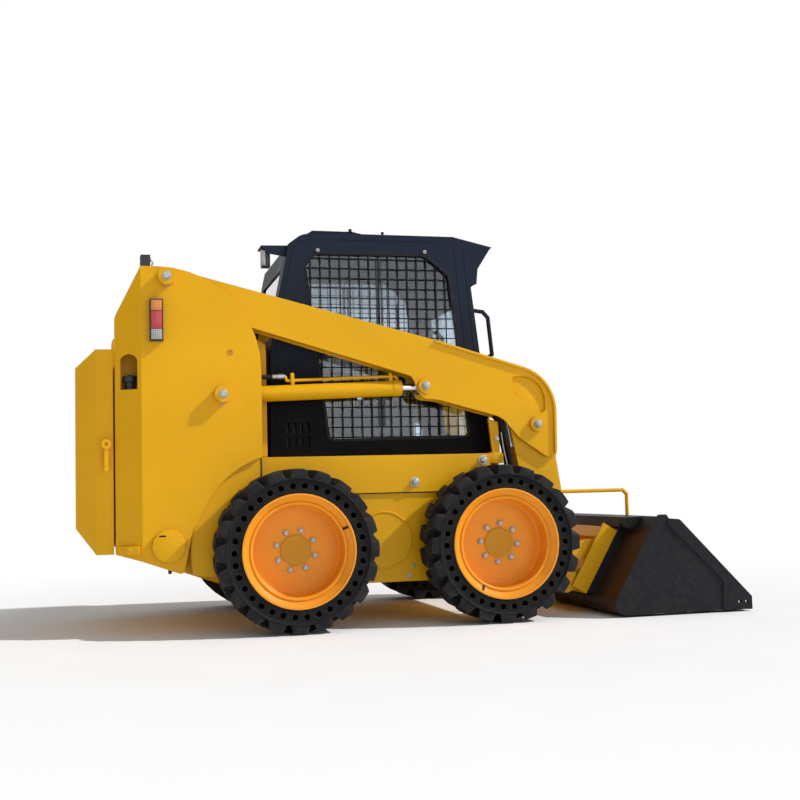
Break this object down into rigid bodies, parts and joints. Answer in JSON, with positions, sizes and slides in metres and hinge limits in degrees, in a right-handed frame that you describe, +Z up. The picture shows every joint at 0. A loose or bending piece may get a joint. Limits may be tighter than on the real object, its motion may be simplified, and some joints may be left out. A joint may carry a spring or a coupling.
{
  "type": "skid steer loader",
  "caption": "Skid steer loader with lugged solid tyres, glazed cab behind wire screens, radial lift arms on hydraulic cylinders and a dirt bucket on a quick coupler.",
  "frame": {"origin": "on the ground under the middle of the whole machine with its bucket lowered", "axes": "+X forward to the bucket's lip, +Y to the driver's left, +Z up"},
  "size_m": [3.391, 1.744, 2.0386],
  "materials": {
    "body_yellow": "gloss",
    "rim_orange": "satin",
    "cab_black": "satin",
    "bucket_black": "satin",
    "edge_steel": "satin",
    "engine_iron": "rough",
    "chrome_rod": "polished",
    "pin_steel": "satin",
    "tyre_rubber": "matte",
    "lamp_lens": "gloss",
    "window_glass": "clear",
    "seat_vinyl": "satin",
    "trim_plastic": "matte"
  },
  "bodies": {
    "chassis": {"chassis_frame": "body_yellow", "axle_housings": "body_yellow", "frame_covers": "body_yellow", "tower_right": "body_yellow", "tower_left": "body_yellow", "tower_pins": "body_yellow", "engine_block": "engine_iron", "engine_hood": "body_yellow", "lamps": "lamp_lens", "cab_side_right": "cab_black", "cab_side_left": "cab_black", "cab_roof": "cab_black", "cab_rear_wall": "cab_black", "cab_floor": "cab_black", "cab_glass": "window_glass", "cab_screens": "cab_black", "seat_base": "trim_plastic", "seat": "seat_vinyl", "control_levers": "trim_plastic"},
    "front_door": {"cab_door": "cab_black", "cab_door_glass": "window_glass"},
    "engine_door": {"rear_door": "body_yellow", "rear_door_latch": "body_yellow"},
    "lift_arms": {"arm_right": "body_yellow", "arm_left": "body_yellow", "arm_cross_tube": "body_yellow", "arm_pins": "pin_steel"},
    "lift_tube_right": {"lift_barrel_right": "body_yellow"},
    "lift_tube_left": {"lift_barrel_left": "body_yellow"},
    "lift_ram_right": {"lift_rod_right": "chrome_rod"},
    "lift_ram_left": {"lift_rod_left": "chrome_rod"},
    "tilt_tube_right": {"tilt_barrel_right": "body_yellow"},
    "tilt_tube_left": {"tilt_barrel_left": "body_yellow"},
    "tilt_ram_right": {"tilt_rod_right": "chrome_rod"},
    "tilt_ram_left": {"tilt_rod_left": "chrome_rod"},
    "bucket": {"coupler": "body_yellow", "level_rod": "body_yellow", "bucket_shell": "bucket_black", "cutting_edges": "edge_steel"},
    "wheel_front_right": {"tyre_front_right": "tyre_rubber", "rim_front_right": "rim_orange"},
    "wheel_front_left": {"tyre_front_left": "tyre_rubber", "rim_front_left": "rim_orange"},
    "wheel_rear_right": {"tyre_rear_right": "tyre_rubber", "rim_rear_right": "rim_orange"},
    "wheel_rear_left": {"tyre_rear_left": "tyre_rubber", "rim_rear_left": "rim_orange"}
  },
  "joints": [
    {"name": "lift", "type": "hinge", "parent": "chassis", "child": "lift_arms", "pos_m": [-1.2625, 0, 1.734], "axis": [0, -1, 0], "range_deg": [0, 67]},
    {"name": "bucket_tilt", "type": "hinge", "parent": "lift_arms", "child": "bucket", "pos_m": [0.7895, 0, 0.165], "axis": [0, 1, 0], "range_deg": [-30, 107]},
    {"name": "cab_door_hinge", "type": "hinge", "parent": "chassis", "child": "front_door", "pos_m": [0.46111, 0.4075, 0.8631], "axis": [-0.11, 0, 0.9939], "range_deg": [0, 90]},
    {"name": "rear_door_hinge", "type": "hinge", "parent": "chassis", "child": "engine_door", "pos_m": [-1.5225, 0.536, 0.9], "axis": [0, 0, -1], "range_deg": [0, 100]},
    {"name": "lift_tube_right_swing", "type": "hinge", "parent": "chassis", "child": "lift_tube_right", "pos_m": [-0.9975, -0.531, 1.16], "axis": [0, -1, 0], "range_deg": [0, 66]},
    {"name": "lift_ram_right_slide", "type": "slide", "parent": "lift_tube_right", "child": "lift_ram_right", "axis": [0.9993, 0, 0.0385], "range_m": [0, 0.73]},
    {"name": "tilt_tube_right_swing", "type": "hinge", "parent": "lift_arms", "child": "tilt_tube_right", "pos_m": [0.6435, -0.5185, 0.998], "axis": [0, -1, 0], "range_deg": [-2, 5]},
    {"name": "tilt_ram_right_slide", "type": "slide", "parent": "tilt_tube_right", "child": "tilt_ram_right", "axis": [0.3081, 0, -0.9514], "range_m": [-0.08, 0.27]},
    {"name": "lift_tube_left_swing", "type": "hinge", "parent": "chassis", "child": "lift_tube_left", "pos_m": [-0.9975, 0.531, 1.16], "axis": [0, -1, 0], "range_deg": [0, 66]},
    {"name": "lift_ram_left_slide", "type": "slide", "parent": "lift_tube_left", "child": "lift_ram_left", "axis": [0.9993, 0, 0.0385], "range_m": [0, 0.73]},
    {"name": "tilt_tube_left_swing", "type": "hinge", "parent": "lift_arms", "child": "tilt_tube_left", "pos_m": [0.6435, 0.5185, 0.998], "axis": [0, -1, 0], "range_deg": [-2, 5]},
    {"name": "tilt_ram_left_slide", "type": "slide", "parent": "tilt_tube_left", "child": "tilt_ram_left", "axis": [0.3081, 0, -0.9514], "range_m": [-0.08, 0.27]},
    {"name": "wheel_front_right_spin", "type": "hinge", "parent": "chassis", "child": "wheel_front_right", "pos_m": [0.3745, -0.715, 0.3935], "axis": [0, 1, 0], "continuous": true},
    {"name": "wheel_front_left_spin", "type": "hinge", "parent": "chassis", "child": "wheel_front_left", "pos_m": [0.3745, 0.715, 0.3935], "axis": [0, 1, 0], "continuous": true},
    {"name": "wheel_rear_right_spin", "type": "hinge", "parent": "chassis", "child": "wheel_rear_right", "pos_m": [-0.6655, -0.715, 0.3935], "axis": [0, 1, 0], "continuous": true},
    {"name": "wheel_rear_left_spin", "type": "hinge", "parent": "chassis", "child": "wheel_rear_left", "pos_m": [-0.6655, 0.715, 0.3935], "axis": [0, 1, 0], "continuous": true}
  ],
  "couplings": [
    {"joint": "lift_tube_right_swing", "follows": "lift", "ratio": 0.965},
    {"joint": "lift_ram_right_slide", "follows": "lift", "m_per_rad": 0.615},
    {"joint": "tilt_tube_right_swing", "follows": "bucket_tilt", "ratio": 0.03},
    {"joint": "tilt_ram_right_slide", "follows": "bucket_tilt", "m_per_rad": 0.14},
    {"joint": "lift_tube_left_swing", "follows": "lift", "ratio": 0.965},
    {"joint": "lift_ram_left_slide", "follows": "lift", "m_per_rad": 0.615},
    {"joint": "tilt_tube_left_swing", "follows": "bucket_tilt", "ratio": 0.03},
    {"joint": "tilt_ram_left_slide", "follows": "bucket_tilt", "m_per_rad": 0.14}
  ]
}
